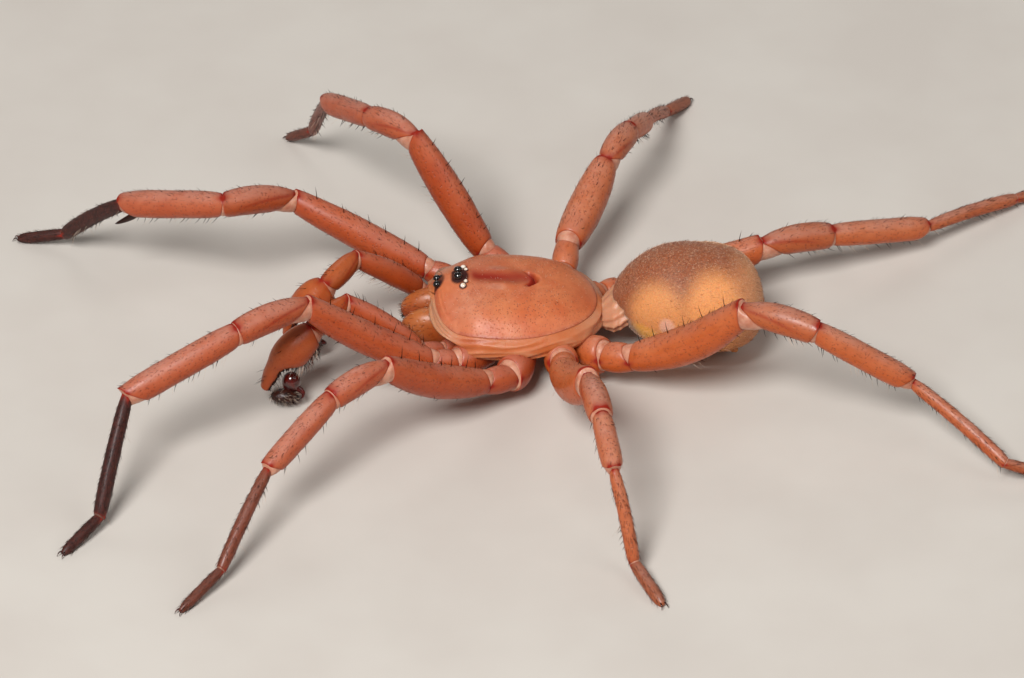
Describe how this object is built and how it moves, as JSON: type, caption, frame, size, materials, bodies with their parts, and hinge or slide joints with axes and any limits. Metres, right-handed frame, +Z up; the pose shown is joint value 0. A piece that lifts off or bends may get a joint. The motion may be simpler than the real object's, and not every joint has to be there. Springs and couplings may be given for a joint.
{
  "type": "life-size still model of a male idiops sylvestris trapdoor spider",
  "caption": "Life-size still model of a male trapdoor spider standing low on spread legs, with a smooth domed carapace, swollen palps with dark bulbs, and a soft egg-shaped abdomen.",
  "frame": {"origin": "on the floor, under the middle of the box round the whole animal", "axes": "-X is the way the spider faces and +X points to the end of its abdomen; +Y is its right side; +Z is up"},
  "size_m": [0.0418, 0.0332, 0.0067],
  "materials": {
    "carapace_cuticle": "satin orange-brown cuticle, smooth on the dome",
    "leg_cuticle": "satin orange-brown cuticle with fine short hair",
    "dark_cuticle": "dark brown-black cuticle of the first feet",
    "soft_membrane": "pale soft skin",
    "abdomen_skin": "velvety brown-grey and yellow-orange skin",
    "bulb_cuticle": "dark red-black glossy cuticle",
    "fang_cuticle": "black-brown glossy cuticle",
    "eye_lens": "black pigment and glossy lenses"
  },
  "bodies": {
    "root": {"carapace": "carapace_cuticle", "sternum": "carapace_cuticle", "abdomen": "abdomen_skin", "spinnerets": "soft_membrane", "eyes_front": "eye_lens", "eyes_rear": "eye_lens", "chelicera_left": "leg_cuticle", "fang_left": "fang_cuticle", "palp_left_coxa": "leg_cuticle", "palp_left_femur": "leg_cuticle", "palp_left_patella": "leg_cuticle", "palp_left_tibia": "leg_cuticle", "palp_left_bulb": "bulb_cuticle", "leg_left_1_coxa": "leg_cuticle", "leg_left_1_femur": "leg_cuticle", "leg_left_1_patella": "leg_cuticle", "leg_left_1_tibia": "leg_cuticle", "leg_left_1_metatarsus": "dark_cuticle", "leg_left_2_coxa": "leg_cuticle", "leg_left_2_femur": "leg_cuticle", "leg_left_2_patella": "leg_cuticle", "leg_left_2_tibia": "leg_cuticle", "leg_left_2_metatarsus": "leg_cuticle", "leg_left_3_coxa": "leg_cuticle", "leg_left_3_femur": "leg_cuticle", "leg_left_3_patella": "leg_cuticle", "leg_left_3_tibia": "leg_cuticle", "leg_left_3_metatarsus": "leg_cuticle", "leg_left_4_coxa": "leg_cuticle", "leg_left_4_femur": "leg_cuticle", "leg_left_4_patella": "leg_cuticle", "leg_left_4_tibia": "leg_cuticle", "leg_left_4_metatarsus": "leg_cuticle", "chelicera_right": "leg_cuticle", "fang_right": "fang_cuticle", "palp_right_coxa": "leg_cuticle", "palp_right_femur": "leg_cuticle", "palp_right_patella": "leg_cuticle", "palp_right_tibia": "leg_cuticle", "palp_right_bulb": "bulb_cuticle", "leg_right_1_coxa": "leg_cuticle", "leg_right_1_femur": "leg_cuticle", "leg_right_1_patella": "leg_cuticle", "leg_right_1_tibia": "leg_cuticle", "leg_right_1_metatarsus": "dark_cuticle", "leg_right_2_coxa": "leg_cuticle", "leg_right_2_femur": "leg_cuticle", "leg_right_2_patella": "leg_cuticle", "leg_right_2_tibia": "leg_cuticle", "leg_right_2_metatarsus": "leg_cuticle", "leg_right_3_coxa": "leg_cuticle", "leg_right_3_femur": "leg_cuticle", "leg_right_3_patella": "leg_cuticle", "leg_right_3_tibia": "leg_cuticle", "leg_right_3_metatarsus": "leg_cuticle", "leg_right_4_coxa": "leg_cuticle", "leg_right_4_femur": "leg_cuticle", "leg_right_4_patella": "leg_cuticle", "leg_right_4_tibia": "leg_cuticle", "leg_right_4_metatarsus": "leg_cuticle"}
  },
  "joints": []
}
